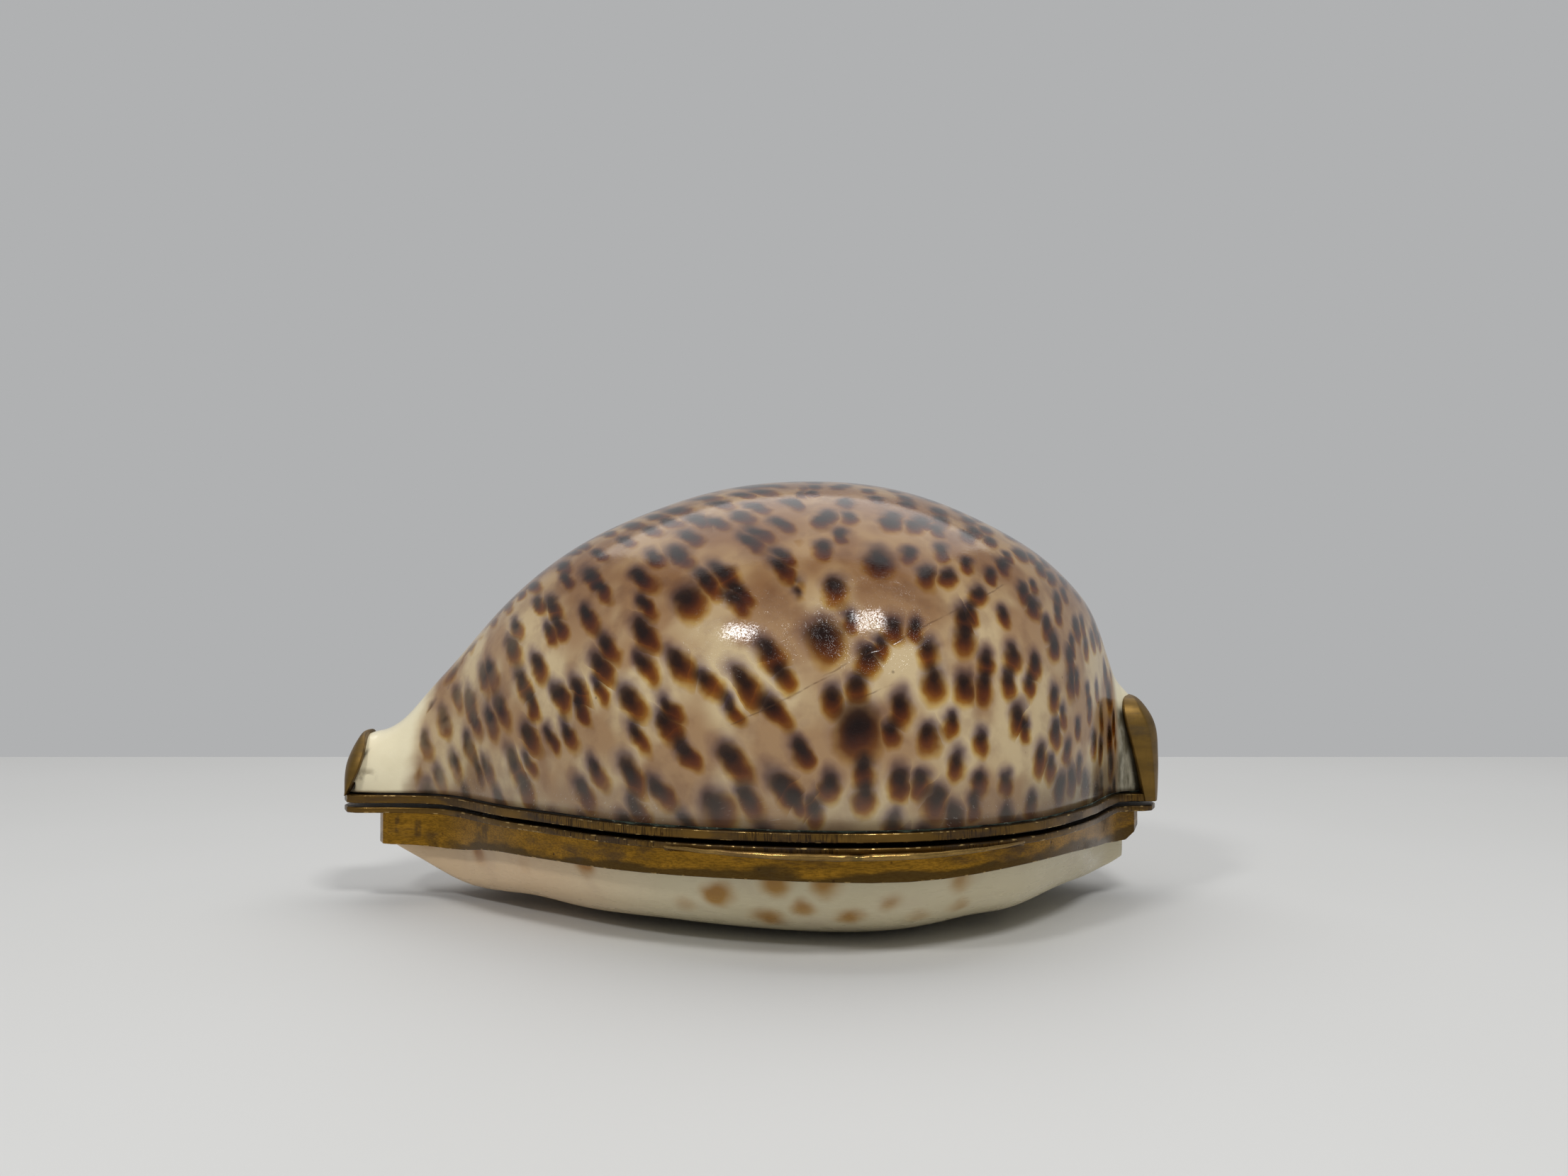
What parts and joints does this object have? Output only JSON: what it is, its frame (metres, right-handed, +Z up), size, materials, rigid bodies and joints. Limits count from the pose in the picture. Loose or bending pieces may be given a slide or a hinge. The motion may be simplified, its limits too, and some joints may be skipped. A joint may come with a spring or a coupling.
{
  "type": "shell snuff box",
  "caption": "Cowrie shell snuff box with brass mounts: the domed back is the box, hinged behind to the toothed underside, which is the lid it stands on.",
  "frame": {"origin": "on the surface it stands on, under the middle of the box", "axes": "+X along the shell from its narrow end to its broad end, +Y from the thumb lip towards the hinge, +Z up"},
  "size_m": [0.085, 0.0614, 0.0434],
  "materials": {
    "spotted_shell": "polished cowrie shell, cream with brown spots",
    "pale_shell": "polished cowrie underside, cream white with faint orange spots",
    "brass": "old brass, filed edges, tarnished",
    "cement": "dark cement stained green by the brass"
  },
  "bodies": {
    "lid": {"lid_plate": "brass", "lid_bezel": "brass", "thumb_lip": "brass", "lid_apron": "brass", "front_base_shell": "pale_shell", "rear_base_shell": "pale_shell", "base_cement": "cement", "lid_hinge_leaf": "brass", "hinge_pin": "brass"},
    "box": {"dome_shell": "spotted_shell", "dome_cement": "cement", "cover_plate": "brass", "left_end_cap": "brass", "right_end_cap": "brass", "cover_hinge_leaf": "brass"}
  },
  "joints": [
    {"name": "lid_hinge", "type": "hinge", "parent": "lid", "child": "box", "pos_m": [0.007, 0.0294, 0.01], "axis": [-1, 0, 0], "range_deg": [0, 105]}
  ]
}
